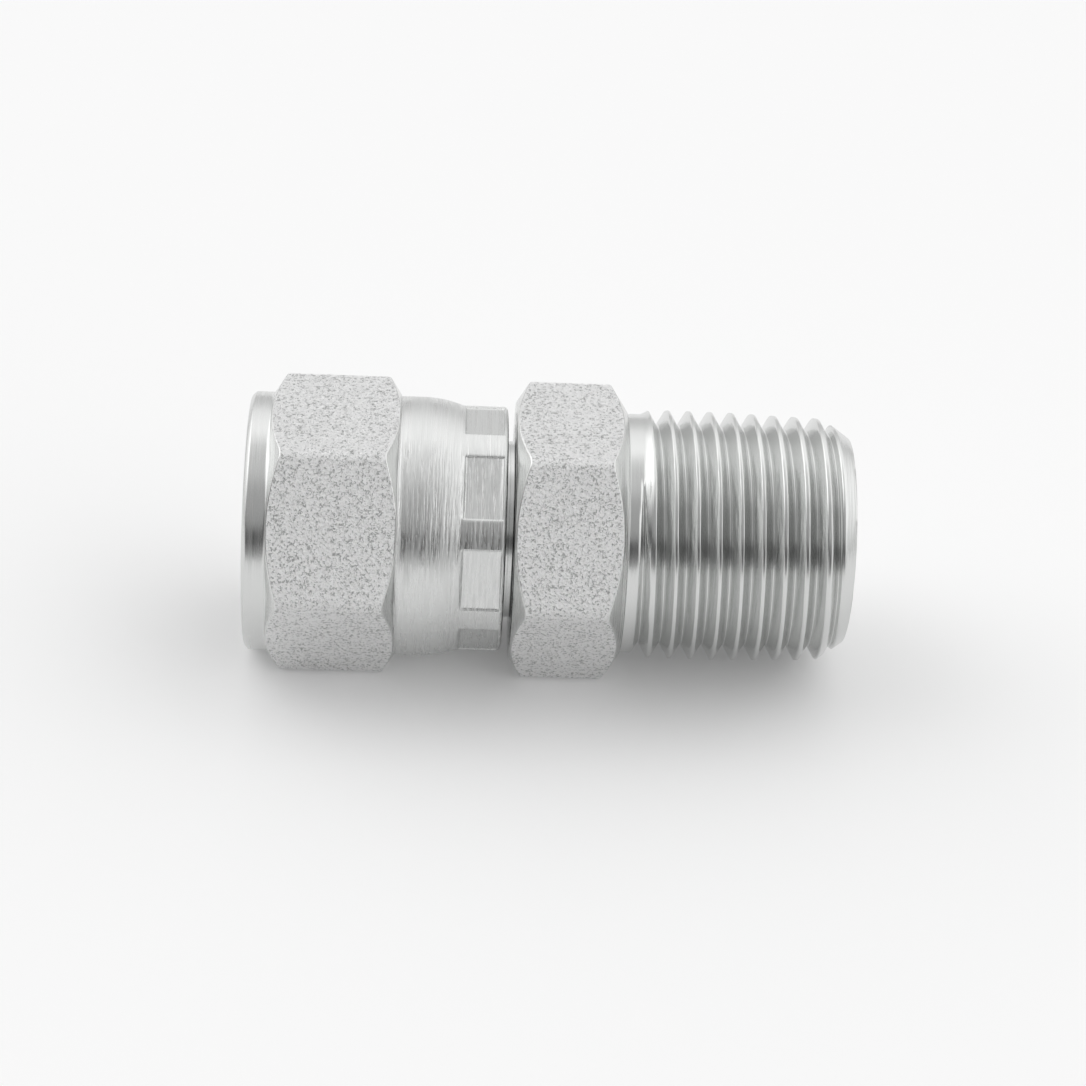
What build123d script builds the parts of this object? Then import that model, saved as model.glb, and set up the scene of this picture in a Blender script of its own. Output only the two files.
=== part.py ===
from build123d import *
from math import atan, ceil, cos, degrees, radians, sqrt, tan
import os

os.makedirs("parts", exist_ok=True)

# Hydraulic adapter, 1/2-14 tapered male pipe thread to a 3/4-16 female swivel nut with a 37 degree seat.
# The flow axis is X, and the part lies on the flats of its two hexagons, so Z is up.
# The origin is on the axis, in the face of the body's hexagon that the pipe thread starts from.

inch = 25.4

# Both hexagons are drawn 7/8 inch bar, chamfered alike at every end
hex_across_flats = 22.2
hex_corner_radius = 1.2
hex_chamfer_angle = 33
hex_apothem = hex_across_flats / 2
hex_corner_reach = hex_across_flats / sqrt(3)
chamfer_slope = tan(radians(hex_chamfer_angle))

# Adapter body, outside
body_hex_length = 9.4
body_thread_face_step = 1.4
body_nut_face_step = 0.4
pipe_length = 19.0
pipe_blank_diameter = 21.18
pipe_neck_diameter = 20.4
pipe_neck_length = 1.2
pipe_neck_rise = 1.0
spigot_root = 3.0
head_entry_clearance = 0.05
head_length = 4.5
head_lip = 0.7
retaining_angle = 45
swivel_neck_step = 1.2

# Adapter body, inside
passage_diameter = 10.0
passage_edge = 0.4
seat_angle = 37

# Tapered pipe thread, 14 to the inch, a sharp 60 degree V on a 1 in 16 cone
pipe_pitch = inch / 14
pipe_taper = 1 / 16
pipe_end_diameter = 20.6
pipe_thread_depth = 0.8 * pipe_pitch
pipe_cut_overrun = 0.033 * pipe_pitch
pipe_nose_diameter = 17.6
pipe_nose_angle = 35
pipe_start_angle = 99
pipe_last_groove = 1.64
runout_turns = 0.45
turn_overlap = 0.02
flank_slope = tan(radians(30))

# Swivel nut, outside
nut_gap = 0.7
nut_collar_step = 0.2
nut_collar_length = 1.9
nut_collar_edge = 0.35
nut_hex_length = 10.7
nut_rear_face_step = -0.1
skirt_step = 0.16
skirt_length = 2.0
shoulder_length = 3.3
crimp_step = 0.7
crimp_length = 3.8
crimp_rear_radius = 0.4

# Marks of the eight crimping jaws
jaw_count = 8
jaw_depth = 0.5
jaw_width = 5.5
jaw_length = 3.4
jaw_rear_land = 0.25
jaw_first_angle = 37

# Swivel nut, inside
nut_pitch = inch / 16
nut_minor_wall = 2.35
nut_thread_depth = 0.55 * nut_pitch
nut_cut_overrun = 0.06 * nut_pitch
nut_thread_length = 9.5
nut_lead_in = 1.05
nut_relief_depth = 0.95
nut_relief_length = 1.4
nut_rear_edge = 0.2
head_clearance = 0.35
neck_clearance = 0.25
axial_float = 0.5
seat_setback = 0.6

# Stations along the axis
hex_nut_side = -body_hex_length
nut_rear = hex_nut_side - nut_gap
crimp_front = nut_rear - crimp_length
shoulder_front = crimp_front - shoulder_length
nut_hex_rear = shoulder_front - skirt_length
nut_hex_front = nut_hex_rear - nut_hex_length
nut_front = nut_hex_front - nut_collar_length
nut_thread_end = nut_front + nut_thread_length
head_front = nut_thread_end + seat_setback
head_rear = head_front + head_length

# Radii that are used more than once
body_nut_face_radius = (hex_across_flats - body_nut_face_step) / 2
body_thread_face_radius = (hex_across_flats - body_thread_face_step) / 2
nut_rear_face_radius = (hex_across_flats - nut_rear_face_step) / 2
minor_radius = hex_apothem - nut_minor_wall
relief_radius = minor_radius + nut_relief_depth
head_radius = minor_radius - head_entry_clearance
neck_radius = head_radius - swivel_neck_step
passage_radius = passage_diameter / 2
blank_radius = pipe_blank_diameter / 2
pipe_neck_radius = pipe_neck_diameter / 2
pipe_end_radius = pipe_end_diameter / 2
nose_radius = pipe_nose_diameter / 2
collar_radius = (hex_across_flats - nut_collar_step) / 2
skirt_radius = (hex_across_flats - skirt_step) / 2
crimp_radius = hex_apothem - crimp_step
chamber_radius = head_radius + head_clearance
lip_radius = neck_radius + neck_clearance


# The envelope that a lathe leaves on a hexagon: a flat face at each end, and a cone out to the corners
def chamfer_envelope(start, end, start_face_radius, end_face_radius):
    with BuildSketch(Plane.XZ) as envelope:
        with BuildLine():
            Polyline(
                (start, 0),
                (start, start_face_radius),
                (start + (hex_corner_reach - start_face_radius) * chamfer_slope, hex_corner_reach),
                (end - (hex_corner_reach - end_face_radius) * chamfer_slope, hex_corner_reach),
                (end, end_face_radius),
                (end, 0),
                close=True,
            )
        make_face()
    return envelope.sketch


# A hexagon of drawn bar, lying on a flat
def bar_section(station):
    with BuildSketch(Plane.YZ.offset(station)) as section:
        RegularPolygon(hex_apothem, 6, major_radius=False)
        fillet(section.vertices(), hex_corner_radius)
    return section.sketch


# A cutter for the V of a thread's groove. It starts at radius on +X and climbs a cone along +Z. The point
# of the V is at height root from that path, and its mouth at height mouth
def groove_cutter(pitch, run, radius, half_angle, root, mouth):
    half_width = abs(mouth - root) * flank_slope
    with BuildPart() as cutter:
        with BuildLine():
            path = Helix(pitch / cos(radians(half_angle)), run, radius, cone_angle=half_angle)
        with BuildSketch(Plane(origin=path @ 0, x_dir=(0, 0, 1), z_dir=path % 0)):
            with BuildLine():
                Polyline((0, root), (-half_width, mouth), (half_width, mouth), close=True)
            make_face()
        sweep(path=path, is_frenet=True)
    return cutter.part


# The pipe thread's groove opens outwards, past the crests
def pipe_groove(run, radius, half_angle):
    return groove_cutter(pipe_pitch, run, radius, half_angle, 0, pipe_thread_depth + pipe_cut_overrun)


# Pipe thread, along Z from the groove's start one pitch beyond the nose, with the hexagon at groove_start
nose_length = (pipe_end_radius - nose_radius) / tan(radians(pipe_nose_angle))
taper_length = (blank_radius - pipe_end_radius) * 2 / pipe_taper
cone_half_angle = degrees(atan(pipe_taper / 2))
groove_start = pipe_length + pipe_pitch
groove_run = groove_start - pipe_last_groove
root_start_radius = pipe_end_radius - pipe_pitch * pipe_taper / 2 - pipe_thread_depth
runout_length = runout_turns * pipe_pitch
runout_begin = groove_run - turn_overlap * pipe_pitch
runout_radius = root_start_radius + runout_begin * pipe_taper / 2
runout_cone_angle = degrees(atan(pipe_thread_depth / runout_length))

# Head of the body, and the nut's lip behind it
retaining_slope = tan(radians(retaining_angle))
retaining_run = (head_radius - neck_radius) / retaining_slope
seat_mouth_radius = head_radius - head_lip
seat_depth = (seat_mouth_radius - passage_radius) / tan(radians(seat_angle))
lip_front = head_rear + axial_float

# Crimping jaws
jaw_front = nut_rear - jaw_rear_land - jaw_length
jaw_flat_radius = crimp_radius - jaw_depth
jaw_cut_depth = skirt_radius - jaw_flat_radius

# The pipe thread's groove is cut a turn at a time, each turn lapping a little over the next
turn_cuts = []
for turn in range(ceil(groove_run / pipe_pitch)):
    done = turn * pipe_pitch
    run = min((1 + turn_overlap) * pipe_pitch, groove_run - done)
    turn_cuts.append(pipe_groove(run, root_start_radius + done * pipe_taper / 2, cone_half_angle))
runout_cut = pipe_groove(runout_length, runout_radius, runout_cone_angle)

# The nut's groove opens inwards, past the bore, and ends in the relief
socket_run = nut_pitch + nut_thread_length + nut_relief_length / 2
socket_cut = groove_cutter(nut_pitch, socket_run, minor_radius, 0, nut_thread_depth, -nut_cut_overrun)

with BuildPart() as pipe_spigot:
    with BuildSketch(Plane.XZ):
        with BuildLine():
            Polyline(
                (0, pipe_pitch),
                (nose_radius, pipe_pitch),
                (pipe_end_radius, pipe_pitch + nose_length),
                (blank_radius, pipe_pitch + nose_length + taper_length),
                (blank_radius, groove_start - pipe_neck_length - pipe_neck_rise),
                (pipe_neck_radius, groove_start - pipe_neck_length),
                (pipe_neck_radius, groove_start + spigot_root),
                (0, groove_start + spigot_root),
                close=True,
            )
        make_face()
    revolve(axis=Axis.Z)
    for turn, turn_cut in enumerate(turn_cuts):
        with Locations(Location((0, 0, turn * pipe_pitch), (0, 0, pipe_start_angle))):
            add(turn_cut, mode=Mode.SUBTRACT)

    # Runout of the groove at the neck, where the cutter lifts
    runout_angle = pipe_start_angle + 360 * runout_begin / pipe_pitch
    with Locations(Location((0, 0, runout_begin), (0, 0, runout_angle))):
        add(runout_cut, mode=Mode.SUBTRACT)

with BuildPart() as adapter_body:
    extrude(bar_section(hex_nut_side), amount=body_hex_length)
    envelope = chamfer_envelope(hex_nut_side, 0, body_nut_face_radius, body_thread_face_radius)
    revolve(envelope, axis=Axis.X, mode=Mode.INTERSECT)

    # Threaded spigot, turned to point along +X
    with Locations(Plane(origin=(groove_start, 0, 0), x_dir=(0, -1, 0), z_dir=(-1, 0, 0))):
        add(pipe_spigot.part.solids().sort_by(SortBy.VOLUME)[-1])

    # Neck and head that carry the nut
    with BuildSketch(Plane.XZ):
        with BuildLine():
            Polyline(
                (head_front, 0),
                (head_front, head_radius),
                (head_rear, head_radius),
                (head_rear + retaining_run, neck_radius),
                (hex_nut_side, neck_radius),
                (hex_nut_side, 0),
                close=True,
            )
        make_face()
    revolve(axis=Axis.X)

    # Seat and flow passage
    with BuildSketch(Plane.XZ):
        with BuildLine():
            Polyline(
                (head_front, 0),
                (head_front, seat_mouth_radius),
                (head_front + seat_depth, passage_radius),
                (pipe_length - passage_edge, passage_radius),
                (pipe_length, passage_radius + passage_edge),
                (pipe_length, 0),
                close=True,
            )
        make_face()
    revolve(axis=Axis.X, mode=Mode.SUBTRACT)

adapter_body.part.label = "adapter_body"
export_step(adapter_body.part, "parts/adapter_body.step")

with BuildPart() as swivel_nut:
    extrude(bar_section(nut_hex_front), amount=nut_hex_length)
    envelope = chamfer_envelope(nut_hex_front, nut_hex_rear, collar_radius, nut_rear_face_radius)
    revolve(envelope, axis=Axis.X, mode=Mode.INTERSECT)

    # Collar in front of the hexagon, and the skirt behind it, crimped inwards
    with BuildSketch(Plane.XZ):
        with BuildLine():
            Polyline(
                (shoulder_front, skirt_radius),
                (nut_hex_rear, skirt_radius),
                (nut_hex_rear, collar_radius),
                (nut_front + nut_collar_edge, collar_radius),
                (nut_front, collar_radius - nut_collar_edge),
                (nut_front, 0),
                (nut_rear, 0),
                (nut_rear, crimp_radius - crimp_rear_radius),
            )
            rear = JernArc((nut_rear, crimp_radius - crimp_rear_radius), (0, 1), crimp_rear_radius, 90)
            Line(rear @ 1, (crimp_front, crimp_radius))
            TangentArc((shoulder_front, skirt_radius), (crimp_front, crimp_radius), tangent=(1, 0))
        make_face()
    revolve(axis=Axis.X)

    # Flats left by the crimping jaws
    with BuildSketch(Plane.YZ.offset(jaw_front)):
        with PolarLocations(jaw_flat_radius + jaw_cut_depth / 2, jaw_count, jaw_first_angle):
            Rectangle(jaw_cut_depth, jaw_width)
    extrude(amount=jaw_length, mode=Mode.SUBTRACT)

    # Socket, thread relief, chamber round the head, and the lip that holds the head
    with BuildSketch(Plane.XZ):
        with BuildLine():
            Polyline(
                (nut_front, 0),
                (nut_front, minor_radius + nut_lead_in),
                (nut_front + nut_lead_in, minor_radius),
                (nut_thread_end, minor_radius),
                (nut_thread_end, relief_radius),
                (nut_thread_end + nut_relief_length, relief_radius),
                (nut_thread_end + nut_relief_length, chamber_radius),
                (lip_front - head_clearance / retaining_slope, chamber_radius),
                (lip_front + (head_radius - lip_radius) / retaining_slope, lip_radius),
                (nut_rear - nut_rear_edge, lip_radius),
                (nut_rear, lip_radius + nut_rear_edge),
                (nut_rear, 0),
                close=True,
            )
        make_face()
    revolve(axis=Axis.X, mode=Mode.SUBTRACT)

    # Groove of the nut's thread, from beyond the mouth into the relief
    with Locations(Plane(origin=(nut_front - nut_pitch, 0, 0), x_dir=(0, -1, 0), z_dir=(1, 0, 0))):
        add(socket_cut, mode=Mode.SUBTRACT)

swivel_nut.part.label = "swivel_nut"
export_step(swivel_nut.part, "parts/swivel_nut.step")
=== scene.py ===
from math import cos, pi, radians, sin, tan

import bmesh
import bpy
import numpy as np
from mathutils import Matrix, Vector


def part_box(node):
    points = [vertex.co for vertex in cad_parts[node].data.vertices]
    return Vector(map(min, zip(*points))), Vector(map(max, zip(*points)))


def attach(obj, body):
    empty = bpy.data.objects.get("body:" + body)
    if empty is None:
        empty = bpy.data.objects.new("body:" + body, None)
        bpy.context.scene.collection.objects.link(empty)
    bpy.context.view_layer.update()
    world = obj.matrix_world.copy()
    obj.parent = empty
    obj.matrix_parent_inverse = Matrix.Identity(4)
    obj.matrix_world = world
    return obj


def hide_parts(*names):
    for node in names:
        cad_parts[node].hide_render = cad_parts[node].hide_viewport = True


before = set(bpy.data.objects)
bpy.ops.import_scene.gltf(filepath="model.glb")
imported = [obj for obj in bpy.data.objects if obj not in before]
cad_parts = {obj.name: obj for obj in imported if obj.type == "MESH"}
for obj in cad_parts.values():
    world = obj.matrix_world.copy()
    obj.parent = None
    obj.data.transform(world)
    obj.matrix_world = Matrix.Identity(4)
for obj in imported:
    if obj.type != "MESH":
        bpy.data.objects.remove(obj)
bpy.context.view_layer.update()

mm = 0.001

# Camera: a studio still life seen from the front, 34 degrees above the table, through a long lens.
# Its place and tilt were fitted to the hexagon corners, the thread's crests and the nut's rim.
camera_elevation = radians(34.02)
camera_turn = radians(-2.47)
camera_roll = radians(3.34)
backward = Vector((
    sin(camera_turn) * cos(camera_elevation),
    -cos(camera_turn) * cos(camera_elevation),
    sin(camera_elevation),
))
level = Vector((cos(camera_turn), sin(camera_turn), 0))
upright = backward.cross(level)
rightward = level * cos(camera_roll) + upright * sin(camera_roll)
upward = upright * cos(camera_roll) - level * sin(camera_roll)
camera = bpy.data.objects.new("camera", bpy.data.cameras.new("camera"))
camera.data.lens = 101.9
camera.data.sensor_width = 36
camera.data.clip_start = 0.01
turned_frame = Matrix((rightward, upward, backward)).transposed().to_4x4()
camera.matrix_world = Matrix.Translation(Vector((-16.1, -218.2, 146.1)) * mm) @ turned_frame
bpy.context.collection.objects.link(camera)
bpy.context.scene.camera = camera
bpy.context.scene.view_settings.view_transform = "Standard"


# Adapter body: one piece of drawn hexagon bar steel, turned at both ends and bored through, with a
# 1/2-14 taper pipe thread. It is bright zinc plated: the drawn flats stay grainy, the turned parts shine.
body_low, body_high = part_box("adapter_body")
hex_apothem = -body_low[2]
hex_edge_radius = 1.2 * mm
hex_margin = 0.001 * mm
hex_length = 9.4 * mm
hex_chamfer = tan(radians(33))
nut_side_face = 10.9 * mm
thread_side_face = 10.4 * mm
head_front = body_low[0]
head_radius = 8.7 * mm
head_lip = 0.7 * mm
head_length = 4.5 * mm
neck_radius = 7.5 * mm
passage_radius = 5.0 * mm
passage_edge = 0.4 * mm
seat_slope = tan(radians(37))
pipe_end = body_high[0]
pipe_pitch = 25.4 / 14 * mm
pipe_neck_radius = 10.2 * mm
pipe_begin = 0.35 * mm
pipe_crest_radius = 10.59 * mm
pipe_taper_start = 8.6 * mm
pipe_root_radius = 9.31 * mm
pipe_root_taper_start = 8.0 * mm
pipe_root_flat = 0.1 * mm
pipe_last_groove = 1.64 * mm
pipe_last_angle = radians(-56)
runout_turns = 0.52
nose_radius = 8.8 * mm
nose_slope = tan(radians(35))
flank_slope = tan(radians(30))


def columns(*fine):
    """Angles round the flow axis, from the front over the top: one every 2 degrees, and for each
    pair (angles, offsets) in fine every angle plus every offset, in degrees. Close ones are left out"""
    extra = [np.add.outer(angles, offsets).ravel() % 360 for angles, offsets in fine]
    angle = np.unique(np.round(np.concatenate([np.arange(0, 360, 2.0)] + extra), 3))
    keep = np.concatenate([[True], np.diff(angle) > 0.12])
    return np.radians(np.append(angle[keep], 360.0))


def hexagon(angle):
    """Radius of the bar's hexagon: the apothem over the cosine of the angle off the nearest flat's
    middle, and past the tangent point the far side of the corner's circle in that direction, less a
    margin of a micron that keeps it inside the solids' box"""
    off = np.abs((angle + pi / 2 + pi / 6) % (pi / 3) - pi / 6)
    centre = (hex_apothem - hex_edge_radius) / cos(pi / 6)
    across = centre * np.sin(pi / 6 - off)
    along = centre * np.cos(pi / 6 - off)
    corner = along + np.sqrt(np.maximum(hex_edge_radius**2 - across**2, 0))
    tangent = np.arctan(tan(pi / 6) * (hex_apothem - hex_edge_radius) / hex_apothem)
    return np.where(off < tangent, hex_apothem / np.cos(off), corner - hex_margin)


def chamfer_end(face, toward, face_radius, full):
    """Where a cone that starts in a face at face_radius meets a section of radius full: the face's
    place, moved toward the middle by the cone's slope times what the radius lacks"""
    return face + toward * hex_chamfer * np.maximum(full - face_radius, 0)


def lathe(corners, reach, steps, angle):
    """Rows (x, radius) of a turned profile at every angle. The corners are joined by straight runs
    of steps rows, and each corner is rounded by a parabola that starts and ends its reach away"""
    points = np.array([[np.broadcast_to(value, angle.size) for value in corner] for corner in corners])
    runs = np.diff(points, axis=0)
    length = np.maximum(np.hypot(runs[:, 0], runs[:, 1]), 1e-9)[:, None]
    cut = np.array(reach)[:, None, None] * mm
    leave = points[:-1] + runs / length * np.minimum(cut[:-1], 0.45 * length)
    arrive = points[1:] - runs / length * np.minimum(cut[1:], 0.45 * length)
    bend = np.array([0.2, 0.4, 0.6, 0.8])[:, None, None]
    rows = []
    for k in range(len(runs)):
        share = np.linspace(0, 1, steps[k] + 1)[:, None, None]
        rows.append(leave[k] + (arrive[k] - leave[k]) * share)
        if k + 1 < len(runs) and reach[k + 1]:
            turn = (1 - bend) ** 2 * arrive[k] + 2 * bend * (1 - bend) * points[k + 1]
            rows.append(turn + bend**2 * leave[k + 1])
    return np.concatenate(rows)


def smooth(value):
    """Eases from 0 to 1 as value does, level at both ends: 3v squared less 2v cubed"""
    value = np.clip(value, 0, 1)
    return value * value * (3 - 2 * value)


def helical(first, last, pitch, fractions, angle):
    """Places along the axis of rows that follow a right-hand helix: the rows of a turn start at
    fractions of a pitch, each loses a pitch in a turn, and all are held between first and last"""
    turns = np.arange(np.ceil((last - first) / pitch) + 2)
    starts = first + (turns[:, None] + np.array(fractions)[None, :]).ravel() * pitch
    return np.clip(starts[:, None] - pitch * angle[None, :] / (2 * pi), first, last)


def pipe_thread(x, angle):
    """Radius of the pipe thread, the least of three. Crests: the neck, a short rise, a parallel
    stretch and a 1 in 16 cone. Grooves: a 60 degree V round the nearest groove line, whose floor
    climbs out of the metal in the last half turn. Nose: a cone"""
    crest = pipe_crest_radius - np.maximum(x - pipe_taper_start, 0) / 32
    crest = crest - (pipe_crest_radius - pipe_neck_radius) * smooth((2.1 * mm - x) / (1.0 * mm))
    turned = (angle - pipe_last_angle) / (2 * pi)
    line = pipe_last_groove + (np.round((x - pipe_last_groove) / pipe_pitch + turned) - turned) * pipe_pitch
    floor = pipe_root_radius - np.maximum(line - pipe_root_taper_start, 0) / 44
    lift = smooth((pipe_last_groove - line) / (runout_turns * pipe_pitch)) * 1.3 * mm
    off = np.maximum(np.abs(x - line) - pipe_root_flat / 2, 0)
    nose = nose_radius + (pipe_end - x) * nose_slope
    return np.minimum(np.minimum(crest, floor + lift + off / flank_slope), nose)


def closed_ring(name, bands, angle, materials):
    """A closed mesh from bands of rows (x, radius) that follow one another round a section: x is
    kept, and the radius turns from the front over the top. Each band has its material's number"""
    vertices, faces, slots, count = [], [], [], 0
    for rows, slot in bands:
        x, radius = rows[:, 0], rows[:, 1]
        place = np.stack([x, -radius * np.cos(angle), radius * np.sin(angle)], axis=-1)
        index = count + np.arange(x.size).reshape(x.shape)
        quads = np.stack([index[:-1, :-1], index[:-1, 1:], index[1:, 1:], index[1:, :-1]], axis=-1)
        vertices.append(place.reshape(-1, 3))
        faces.append(quads.reshape(-1, 4))
        slots.append(np.full(len(faces[-1]), slot, dtype=np.int32))
        count += x.size
    mesh = bpy.data.meshes.new(name)
    mesh.from_pydata(np.concatenate(vertices), [], np.concatenate(faces))
    for material in materials:
        mesh.materials.append(material)
    mesh.polygons.foreach_set("material_index", np.concatenate(slots))
    work = bmesh.new()
    work.from_mesh(mesh)
    bmesh.ops.remove_doubles(work, verts=work.verts, dist=1e-6)
    bmesh.ops.recalc_face_normals(work, faces=work.faces)
    work.to_mesh(mesh)
    work.free()
    mesh.polygons.foreach_set("use_smooth", np.ones(len(mesh.polygons), dtype=bool))
    piece = bpy.data.objects.new(name, mesh)
    bpy.context.collection.objects.link(piece)
    return piece


def linear(code):
    """Linear colour of an sRGB hex code, by the screen's curve undone in each channel"""
    channel = np.array([int(code[k:k + 2], 16) for k in (1, 3, 5)]) / 255
    value = np.where(channel <= 0.04045, channel / 12.92, ((channel + 0.055) / 1.055) ** 2.4)
    return (*value.tolist(), 1)


def add(tree, kind, settings=(), links=()):
    """A node of this kind with its settings and links. A setting is an attribute or an input's
    value, and a link feeds an input, named or numbered. It gives the node's first output"""
    node = tree.nodes.new(kind)
    for name, value in dict(settings).items():
        if isinstance(name, str) and hasattr(node, name):
            setattr(node, name, value)
        else:
            node.inputs[name].default_value = value
    for name, output in dict(links).items():
        tree.links.new(output, node.inputs[name])
    return node.outputs[0]


def metal(name, colour, roughness):
    """A metal with nothing on it yet: its material, tree, shader and the place on the object"""
    material = bpy.data.materials.new(name)
    material.use_nodes = True
    tree = material.node_tree
    shader = tree.nodes["Principled BSDF"]
    shader.inputs["Base Color"].default_value = linear(colour)
    shader.inputs["Metallic"].default_value = 1
    shader.inputs["Roughness"].default_value = roughness
    place = tree.nodes.new("ShaderNodeTexCoord").outputs["Object"]
    return material, tree, shader, place


def turned_place(tree, place):
    """A place as a lathe's tool meets it: its part along the flow axis, its distance from that axis,
    which is the root of the sum of the squares of the other two, and its height"""
    parts = tree.nodes.new("ShaderNodeSeparateXYZ")
    tree.links.new(place, parts.inputs[0])
    x, y, z = parts.outputs
    square = add(tree, "ShaderNodeMath", {"operation": "MULTIPLY"}, {0: y, 1: y})
    square = add(tree, "ShaderNodeMath", {"operation": "MULTIPLY_ADD"}, {0: z, 1: z, 2: square})
    distance = add(tree, "ShaderNodeMath", {"operation": "SQRT"}, {0: square})
    return add(tree, "ShaderNodeCombineXYZ", {}, {0: x, 1: distance, 2: z})


# Bright zinc over cold drawn flats: the bar's scale pits show through the plate as short crooked dashes
# a third of a millimetre across. A pit is a dash along the middle value of one noise, broken up by the
# other. The bump is deeper than the real grain, so that it shows, and the pits are darkened with painted
# shade, a darker colour that stands in for the shadow in their walls.
flats_colour, pit_painted_shade_colour = "#f6f6f6", "#aeafae"
drawn_flats, tree, shader, place = metal("bright_zinc_on_drawn_flats", flats_colour, 0.38)
grain = {"Scale": 1 / (0.28 * mm), "Detail": 3, "Roughness": 0.65}
ground = add(tree, "ShaderNodeTexNoise", grain, {"Vector": place})
crooked = {"Scale": 1 / (0.32 * mm), "Detail": 2, "Distortion": 0.5}
dashes = add(tree, "ShaderNodeTexNoise", crooked, {"Vector": place})
off_line = add(tree, "ShaderNodeMath", {"operation": "SUBTRACT", 1: 0.5}, {0: dashes})
off_line = add(tree, "ShaderNodeMath", {"operation": "ABSOLUTE"}, {0: off_line})
dash_walls = {"From Min": 0.02, "From Max": 0.07, "To Min": 1, "To Max": 0}
sunk = add(tree, "ShaderNodeMapRange", dash_walls, {"Value": off_line})
broken = add(tree, "ShaderNodeMapRange", {"From Min": 0.46, "From Max": 0.55}, {"Value": ground})
pits_and_painted_shade = add(tree, "ShaderNodeMath", {"operation": "MULTIPLY"}, {0: sunk, 1: broken})
uneven = add(tree, "ShaderNodeBump", {"Distance": 0.55 * mm}, {"Height": ground})
pit_bump = {"Distance": 0.06 * mm, "invert": True}
pitted = add(tree, "ShaderNodeBump", pit_bump, {"Height": pits_and_painted_shade, "Normal": uneven})
tree.links.new(pitted, shader.inputs["Normal"])
# Painted shade: in the pits the base colour darkens to a grey that stands in for the shadow in their walls
shade = tree.nodes.new("ShaderNodeValToRGB")
shade.color_ramp.elements[0].color = linear(flats_colour)
shade.color_ramp.elements[1].color = linear(pit_painted_shade_colour)
tree.links.new(pits_and_painted_shade, shade.inputs[0])
tree.links.new(shade.outputs[0], shader.inputs["Base Color"])

# Bright zinc over turned steel: the tool's feed leaves fine rings, so highlights are long and streaked.
# The rings are 0.1 mm apart on the real one, and are drawn 0.25 mm apart and deeper, to show.
turned_steel, tree, shader, place = metal("bright_zinc_on_turned_steel", "#d6d7d6", 0.2)
place = turned_place(tree, place)
ring_place = add(tree, "ShaderNodeMapping", {"Scale": (4000, 4000, 60)}, {"Vector": place})
rings = add(tree, "ShaderNodeTexNoise", {"Scale": 1, "Detail": 2, "Roughness": 0.5}, {"Vector": ring_place})
ringed = add(tree, "ShaderNodeBump", {"Distance": 0.03 * mm}, {"Height": rings})
tree.links.new(ringed, shader.inputs["Normal"])
dullness = {"From Min": 0.35, "From Max": 0.65, "To Min": 0.16, "To Max": 0.28}
tree.links.new(add(tree, "ShaderNodeMapRange", dullness, {"Value": rings}), shader.inputs["Roughness"])

# Bright zinc over the crimped skirt: the jaws and the crimping rubbed the turned rings into broken
# streaks, some 3 mm long and a quarter of a millimetre apart.
crimped_steel, tree, shader, place = metal("bright_zinc_on_crimped_skirt", "#d6d7d6", 0.3)
place = turned_place(tree, place)
streak_place = add(tree, "ShaderNodeMapping", {"Scale": (4500, 500, 350)}, {"Vector": place})
broken_up = {"Scale": 1, "Detail": 3, "Roughness": 0.6}
streaks = add(tree, "ShaderNodeTexNoise", broken_up, {"Vector": streak_place})
streaked = add(tree, "ShaderNodeBump", {"Distance": 0.09 * mm}, {"Height": streaks})
tree.links.new(streaked, shader.inputs["Normal"])
dullness = {"From Min": 0.35, "From Max": 0.65, "To Min": 0.2, "To Max": 0.42}
tree.links.new(add(tree, "ShaderNodeMapRange", dullness, {"Value": streaks}), shader.inputs["Roughness"])

# Bright zinc over the cut thread: smooth flanks with faint drag marks along the turns, 0.2 mm apart.
thread_flanks, tree, shader, place = metal("bright_zinc_on_cut_thread", "#d6d7d6", 0.22)
drag_place = add(tree, "ShaderNodeMapping", {"Scale": (5000, 250, 250)}, {"Vector": place})
drag = add(tree, "ShaderNodeTexNoise", {"Scale": 1, "Detail": 2, "Roughness": 0.5}, {"Vector": drag_place})
dragged = add(tree, "ShaderNodeBump", {"Distance": 0.03 * mm}, {"Height": drag})
tree.links.new(dragged, shader.inputs["Normal"])

zinc = (drawn_flats, turned_steel, crimped_steel, thread_flanks)
FLATS, TURNED, CRIMPED, THREAD = range(4)


def bar_bands(front, front_face, rear, rear_face, bar, angle):
    """Bands of a length of hexagon bar between two turned faces: a cone at each end, taken half way
    round its rounded edge, which is row 6 from that end, and the drawn flats between the two"""
    rows = lathe([
        (front, np.minimum(front_face, bar)),
        (chamfer_end(front, 1, front_face, bar), bar),
        (chamfer_end(rear, -1, rear_face, bar), bar),
        (rear, np.minimum(rear_face, bar)),
    ], [0, 0.16, 0.16, 0], [3, 14, 3], angle)
    return [(rows[:7], TURNED), (rows[6:-6], FLATS), (rows[-7:], TURNED)]


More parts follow.
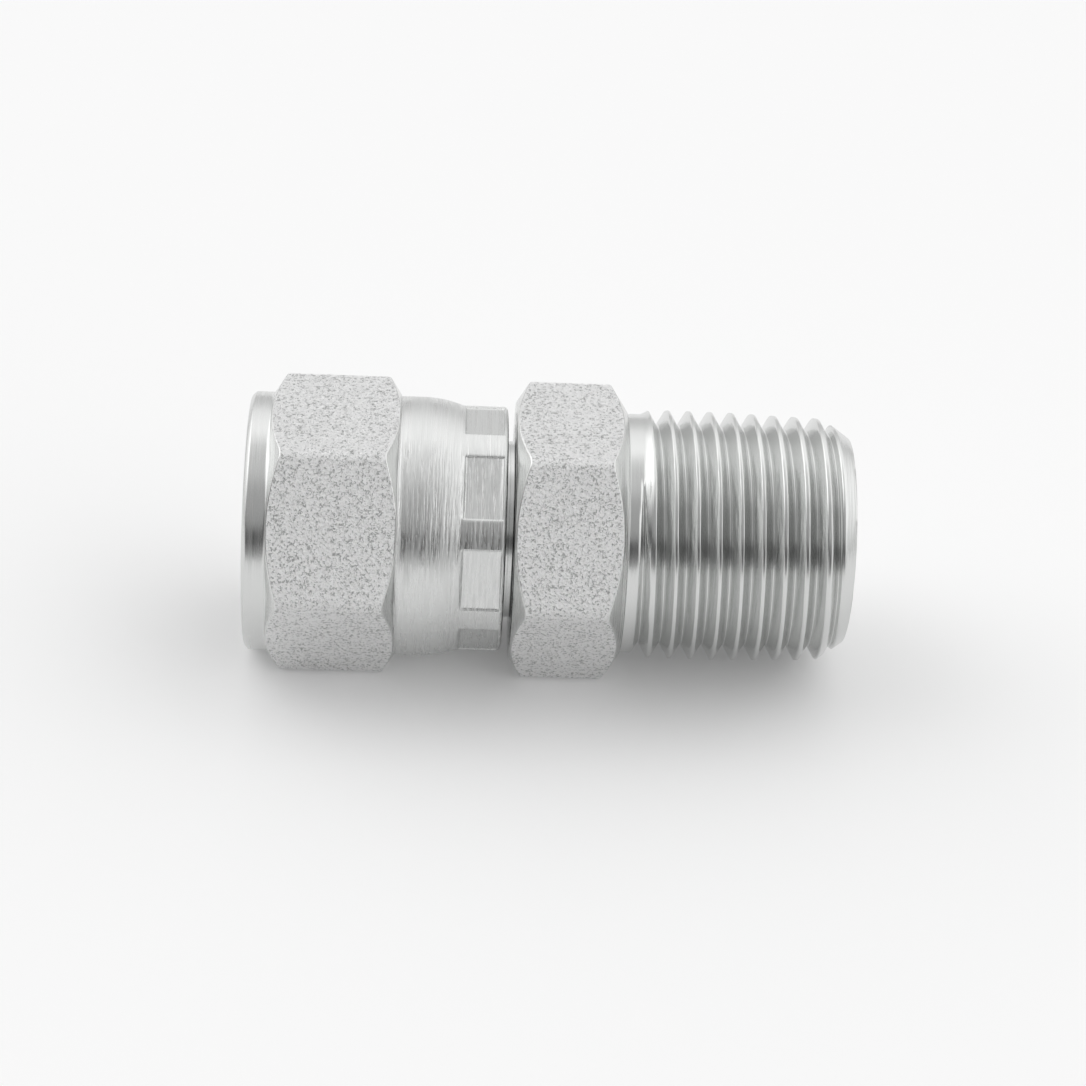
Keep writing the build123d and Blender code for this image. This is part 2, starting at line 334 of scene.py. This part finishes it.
corner_lines = (np.arange(0, 360, 60), np.arange(-3.2, 3.3, 0.8))
angle = columns(corner_lines)
bar = hexagon(angle)
head_rear = head_front + head_length
seat_mouth = head_radius - head_lip
seat_end = head_front + (seat_mouth - passage_radius) / seat_slope
head_middle = (seat_mouth + head_radius) / 2
pipe_rows = np.array([
    0, 0.028, 0.06, 0.15, 0.26, 0.36, 0.42, 0.445, 0.47,
    0.5, 0.53, 0.555, 0.58, 0.64, 0.74, 0.85, 0.94, 0.972,
])
groove_phase = (pipe_last_groove - pipe_begin) / pipe_pitch + pipe_last_angle / (2 * pi)
pipe_x = helical(pipe_begin, pipe_end, pipe_pitch, np.sort((pipe_rows + groove_phase) % 1), angle)
body_bands = [
    (lathe([
        (head_front, head_middle),
        (head_front, head_radius),
        (head_rear, head_radius),
        (head_rear + head_radius - neck_radius, neck_radius),
        (-hex_length, neck_radius),
        (-hex_length, np.minimum(nut_side_face, bar)),
    ], [0, 0.15, 0.1, 0.2, 0.15, 0], [1, 3, 2, 6, 3], angle), TURNED),
    *bar_bands(-hex_length, nut_side_face, 0, thread_side_face, bar, angle),
    (lathe([
        (0, np.minimum(thread_side_face, bar)),
        (0, pipe_neck_radius),
        (pipe_begin, pipe_neck_radius),
    ], [0, 0.06, 0], [2, 1], angle), TURNED),
    (np.stack([pipe_x, pipe_thread(pipe_x, angle[None, :])], axis=1), THREAD),
    (lathe([
        (pipe_end, nose_radius),
        (pipe_end, passage_radius + passage_edge),
        (pipe_end - passage_edge, passage_radius),
        (seat_end, passage_radius),
        (head_front, seat_mouth),
        (head_front, head_middle),
    ], [0, 0.1, 0.1, 0.1, 0.1, 0], [4, 1, 12, 5, 1], angle), TURNED),
]
body = closed_ring("adapter_body_plated", body_bands, angle, zinc)
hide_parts("adapter_body")
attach(body, "body")


# Swivel nut: turned from the same bar and plated alike. Its skirt is crimped behind the body's head by
# eight jaws, whose flats are shallow windows with a sharp step, and its socket has a 3/4-16 thread.
nut_low, nut_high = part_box("swivel_nut")
nut_front, nut_rear = nut_low[0], nut_high[0]
collar_radius = 11.0 * mm
collar_length = 1.9 * mm
collar_edge = 0.35 * mm
nut_hex_length = 10.7 * mm
nut_rear_face = 11.15 * mm
skirt_radius = 11.02 * mm
skirt_length = 2.0 * mm
shoulder_length = 3.3 * mm
crimp_radius = 10.4 * mm
crimp_edge = 0.4 * mm
jaw_flat = 9.9 * mm
jaw_length = 3.4 * mm
jaw_rear_land = 0.25 * mm
jaw_half_angle = 15.5
jaw_step = 0.35
jaw_angles = 8 + 45 * np.arange(8)
minor_radius = 8.75 * mm
major_radius = 9.6 * mm
nut_pitch = 25.4 / 16 * mm
nut_thread_length = 9.5 * mm
lead_in = 1.05 * mm
relief_radius = 9.7 * mm
relief_length = 1.4 * mm
chamber_radius = 9.05 * mm
lip_radius = 7.75 * mm
lip_edge = 0.2 * mm
axial_float = 0.5 * mm

hex_front = nut_front + collar_length
hex_rear = hex_front + nut_hex_length
shoulder_front = hex_rear + skirt_length
jaw_rear = nut_rear - jaw_rear_land
jaw_front = jaw_rear - jaw_length
thread_end = nut_front + nut_thread_length
relief_end = thread_end + relief_length


def crimped_skirt(x, angle):
    """Radius of the skirt: level, then an arc down to the crimp, then level to a quarter round at
    the rear. Under each jaw it is the flat's distance over the cosine of the angle off the jaw's
    middle, with a short step at the jaw's four edges"""
    drop = skirt_radius - crimp_radius
    bend = (shoulder_length**2 + drop**2) / (2 * drop)
    into = np.clip(x - shoulder_front, 0, shoulder_length)
    outer = skirt_radius - bend + np.sqrt(bend**2 - into**2)
    rear = np.clip((x - nut_rear + crimp_edge) / crimp_edge, 0, 1)
    outer = outer - crimp_edge * (1 - np.sqrt(np.maximum(1 - rear**2, 0)))
    off = (np.degrees(angle)[..., None] - jaw_angles + 180) % 360 - 180
    off = np.min(np.abs(off), axis=-1)
    flat = np.minimum(jaw_flat / np.cos(np.radians(np.minimum(off, 20))), outer)
    sides = smooth((jaw_half_angle + jaw_step - off) / (2 * jaw_step))
    ends = smooth((x - jaw_front) / (0.14 * mm)) * smooth((jaw_rear - x) / (0.14 * mm))
    return outer + (flat - outer) * sides * ends


def socket(x, angle):
    """Radius of the socket: the minor radius, cut outwards by a 60 degree V round the nearest
    groove line, up to the thread's end, and opened at the mouth by the lead-in cone"""
    turned = (x - thread_end) / nut_pitch + angle / (2 * pi)
    off = np.abs(turned - np.round(turned)) * nut_pitch
    depth = major_radius - minor_radius
    cut = np.clip(depth + 0.06 * mm - off / flank_slope, 0, depth) * smooth((thread_end - x) / (0.4 * mm))
    return np.maximum(minor_radius + cut, minor_radius + lead_in - (x - nut_front))


jaw_edges = np.concatenate([jaw_angles - jaw_half_angle, jaw_angles + jaw_half_angle])
angle = columns(corner_lines, (jaw_edges, np.array([-0.35, -0.12, 0.12, 0.35])))
bar = hexagon(angle)
skirt_x = np.concatenate([
    np.linspace(hex_rear, shoulder_front, 5),
    np.linspace(shoulder_front, jaw_front, 12),
    jaw_front + np.array([0.05, 0.1, 0.14, 0.3]) * mm,
    np.linspace(jaw_front + 0.5 * mm, jaw_rear - 0.5 * mm, 9),
    jaw_rear - np.array([0.14, 0.1, 0.05, 0]) * mm,
    nut_rear - crimp_edge * (1 - np.sin(np.linspace(0.4, pi / 2, 7))),
])
skirt_x = np.unique(np.round(skirt_x, 8))[:, None] * np.ones(angle.size)
skirt = np.stack([skirt_x, crimped_skirt(skirt_x, angle[None, :])], axis=1)
socket_rows = np.array([
    0, 0.02, 0.035, 0.14, 0.24, 0.3, 0.33, 0.4,
    0.5, 0.6, 0.67, 0.7, 0.76, 0.86, 0.965, 0.98,
])
groove_phase = (thread_end - nut_front) / nut_pitch
socket_x = helical(nut_front, thread_end, nut_pitch, np.sort((socket_rows + groove_phase) % 1), angle)[::-1]
nut_bands = [
    (lathe([
        (nut_front, minor_radius + lead_in),
        (nut_front, collar_radius - collar_edge),
        (nut_front + collar_edge, collar_radius),
        (hex_front, collar_radius),
    ], [0, 0.12, 0.12, 0], [2, 2, 6], angle), TURNED),
    *bar_bands(hex_front, collar_radius, hex_rear, nut_rear_face, bar, angle),
    (lathe([
        (hex_rear, np.minimum(nut_rear_face, bar)),
        (hex_rear, skirt_radius),
    ], [0, 0], [1], angle), TURNED),
    (skirt, CRIMPED),
    (lathe([
        (nut_rear, crimp_radius - crimp_edge),
        (nut_rear, lip_radius + lip_edge),
        (nut_rear - lip_edge, lip_radius),
        (head_rear + axial_float + head_radius - lip_radius, lip_radius),
        (head_rear + axial_float - chamber_radius + head_radius, chamber_radius),
        (relief_end, chamber_radius),
        (relief_end, relief_radius),
        (thread_end, relief_radius),
        (thread_end, minor_radius),
    ], [0, 0.08, 0.08, 0.2, 0.2, 0.1, 0.1, 0.1, 0], [2, 1, 3, 2, 3, 1, 1, 1], angle), TURNED),
    (np.stack([socket_x, socket(socket_x, angle[None, :])], axis=1), THREAD),
]
nut = closed_ring("swivel_nut_plated", nut_bands, angle, zinc)
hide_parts("swivel_nut")
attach(nut, "nut")


# Floor: a sheet of matt white paper, lying under the flats of both hexagons. A small share of what the
# camera and the metal see of it is plain white, which lifts its shadow a little.
floor_radius = 3
plain_share = 0.12
paper_colour = linear("#fbfbfb")
paper = bpy.data.materials.new("matt_white_paper")
paper.use_nodes = True
tree = paper.node_tree
shader = tree.nodes["Principled BSDF"]
shader.inputs["Base Color"].default_value = paper_colour
shader.inputs["Roughness"].default_value = 1
shader.inputs["Specular IOR Level"].default_value = 0
ray = tree.nodes.new("ShaderNodeLightPath").outputs
either = {"operation": "MAXIMUM"}
seen = add(tree, "ShaderNodeMath", either, {0: ray["Is Camera Ray"], 1: ray["Is Glossy Ray"]})
seen = add(tree, "ShaderNodeMath", either, {0: seen, 1: ray["Is Transmission Ray"]})
share = add(tree, "ShaderNodeMath", {"operation": "MULTIPLY", 1: plain_share}, {0: seen})
plain = add(tree, "ShaderNodeEmission", {"Color": paper_colour, "Strength": 1})
both = add(tree, "ShaderNodeMixShader", {}, {0: share, 1: shader.outputs[0], 2: plain})
tree.links.new(both, tree.nodes["Material Output"].inputs["Surface"])
floor_mesh = bpy.data.meshes.new("floor")
edge = np.linspace(0, 2 * pi, 97)[:-1]
depth = np.full(edge.size, -hex_apothem)
rim = np.stack([floor_radius * np.cos(edge), floor_radius * np.sin(edge), depth], axis=1)
floor_mesh.from_pydata(rim, [], [tuple(range(edge.size))])
floor_mesh.materials.append(paper)
floor = bpy.data.objects.new("floor", floor_mesh)
bpy.context.collection.objects.link(floor)


# Light: a white studio, brightest to the sides and behind the object, high up, with the dark of the room
# behind the camera, which the turned surfaces show as a dark band along their middle. It is all world.
world = bpy.data.worlds.new("studio")
world.use_nodes = True
bpy.context.scene.world = world
tree = world.node_tree
parts = tree.nodes.new("ShaderNodeSeparateXYZ")
tree.links.new(tree.nodes.new("ShaderNodeTexCoord").outputs["Generated"], parts.inputs[0])
x, y, z = parts.outputs
height = add(tree, "ShaderNodeMapRange", {"From Min": -1, "From Max": 1}, {"Value": z})


def sky(stops):
    """Grey over the height of a direction, from pairs (degrees above level, grey). The ramp's place
    is half of one plus the sine of the degrees"""
    node = tree.nodes.new("ShaderNodeValToRGB")
    tree.links.new(height, node.inputs[0])
    ramp = node.color_ramp
    ramp.elements[0].position, ramp.elements[1].position = 0, 1
    for element, grey in zip(ramp.elements, (stops[0][1], stops[-1][1])):
        element.color = (grey, grey, grey, 1)
    for degrees, grey in stops[1:-1]:
        ramp.elements.new((sin(radians(degrees)) + 1) / 2).color = (grey, grey, grey, 1)
    return node.outputs[0]


front_sky = sky([
    (-90, 0.45), (-1, 0.45), (6, 0.28), (13, 0.12),
    (22, 0.09), (30, 0.42), (60, 0.48), (90, 0.7),
])
back_sky = sky([(-90, 0.6), (-1, 0.6), (20, 0.8), (32, 1.1), (62, 1.3), (75, 0.85), (90, 0.7)])
left_sky = sky([(-90, 0.5), (-1, 0.5), (10, 1.1), (30, 1.8), (60, 1.9), (90, 0.7)])
right_sky = sky([(-90, 0.5), (-1, 0.5), (10, 0.9), (30, 1.4), (60, 1.4), (90, 0.7)])
behind = add(tree, "ShaderNodeMapRange", {"From Min": -0.35, "From Max": 0.05}, {"Value": y})
to_left = add(tree, "ShaderNodeMapRange", {"From Min": -0.3, "From Max": -0.6}, {"Value": x})
to_right = add(tree, "ShaderNodeMapRange", {"From Min": 0.35, "From Max": 0.65}, {"Value": x})


def blend(share, first, second):
    """One colour turning into another: the first times one less share, plus the second times share"""
    node = tree.nodes.new("ShaderNodeMix")
    node.data_type = "RGBA"
    tree.links.new(share, node.inputs["Factor"])
    tree.links.new(first, node.inputs[6])
    tree.links.new(second, node.inputs[7])
    return node.outputs[2]


lit = blend(to_right, blend(behind, front_sky, blend(to_left, back_sky, left_sky)), right_sky)
background = tree.nodes["Background"]
tree.links.new(lit, background.inputs["Color"])
background.inputs["Strength"].default_value = 1
